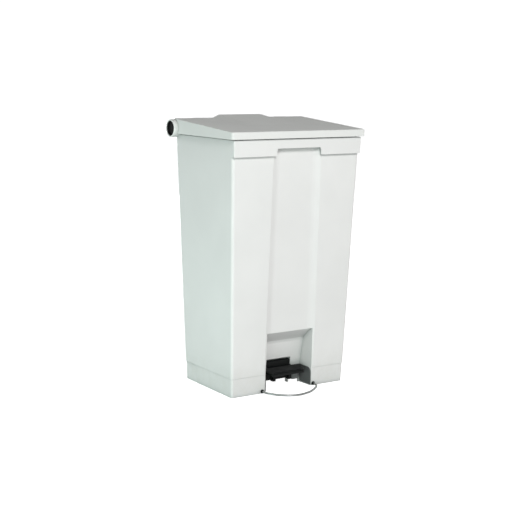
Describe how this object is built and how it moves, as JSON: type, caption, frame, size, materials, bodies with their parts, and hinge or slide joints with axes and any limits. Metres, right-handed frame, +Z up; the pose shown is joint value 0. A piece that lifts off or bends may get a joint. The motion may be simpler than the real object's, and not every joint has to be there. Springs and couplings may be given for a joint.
{
  "type": "pedal bin",
  "caption": "Tall tapered white step-on bin with a sloping lid hinged on a rear handle tube, a recessed front panel, a black pedal in a toe alcove and a wire bow at the floor.",
  "frame": {"origin": "middle of the bounding box, on the floor", "axes": "+Z up, -Y towards the front (pedal side), +X to the right of someone facing +Y"},
  "size_m": [0.502, 0.4144, 0.827],
  "materials": {
    "white_shell": "fine satin moulded polyolefin",
    "white_lid": "fine satin moulded polyolefin",
    "white_tube": "smooth extruded plastic",
    "black_plastic": "textured moulded nylon",
    "grey_plastic": "satin moulded plastic",
    "rubber_black": "matt rubber",
    "rubber_grey": "matt rubber",
    "steel_wire": "drawn wire, dull zinc",
    "steel_zinc": "zinc plated",
    "wheel_grey": "grey thermoplastic rubber",
    "guide_white": "moulded acetal"
  },
  "bodies": {
    "bin": {"body_shell": "white_shell", "base_frame": "white_shell", "foot_pads": "rubber_black", "base_screws": "steel_zinc", "handle_tube": "white_tube", "tube_plug_left": "black_plastic", "tube_plug_right": "black_plastic", "tube_screws": "steel_zinc", "rod_guide_lower": "guide_white", "rod_guide_upper": "guide_white", "guide_screws": "steel_zinc", "pedal_axle": "steel_zinc", "axle_bushes": "guide_white", "axle_clips": "steel_zinc", "side_plate_left": "grey_plastic", "side_plate_right": "grey_plastic", "wheel_axles": "steel_zinc", "wire_bow": "steel_wire", "bow_grommets": "black_plastic"},
    "lid": {"lid_shell": "white_lid", "lid_bumpers": "rubber_grey", "lid_crank": "steel_zinc", "crank_pin": "steel_zinc", "crank_screws": "steel_zinc"},
    "rod": {"lift_rod": "steel_zinc", "rod_head": "grey_plastic", "rod_foot": "grey_plastic", "rod_foot_pin": "steel_zinc"},
    "pedal": {"pedal": "black_plastic", "tread_pad": "rubber_black", "pedal_stop": "rubber_grey", "lever_bar": "steel_zinc", "lever_rivet": "steel_zinc"},
    "wheel_l": {"wheel_left": "wheel_grey"},
    "wheel_r": {"wheel_right": "wheel_grey"}
  },
  "joints": [
    {"name": "lid_hinge", "type": "hinge", "parent": "bin", "child": "lid", "pos_m": [0, 0.177, 0.788], "axis": [-1, 0, 0], "range_deg": [0, 70]},
    {"name": "rod_slide", "type": "slide", "parent": "bin", "child": "rod", "axis": [0, 0, 1], "range_m": [0, 0.0482]},
    {"name": "pedal_pivot", "type": "hinge", "parent": "bin", "child": "pedal", "pos_m": [0, -0.02, 0.036], "axis": [1, 0, 0], "range_deg": [0, 17.26]},
    {"name": "wheel_l_spin", "type": "hinge", "parent": "bin", "child": "wheel_l", "pos_m": [-0.175, 0.136, 0.025], "axis": [1, 0, 0], "continuous": true},
    {"name": "wheel_r_spin", "type": "hinge", "parent": "bin", "child": "wheel_r", "pos_m": [0.175, 0.136, 0.025], "axis": [1, 0, 0], "continuous": true}
  ],
  "couplings": [
    {"joint": "rod_slide", "follows": "lid_hinge", "m_per_rad": 0.039436},
    {"joint": "pedal_pivot", "follows": "lid_hinge", "ratio": 0.24646}
  ]
}
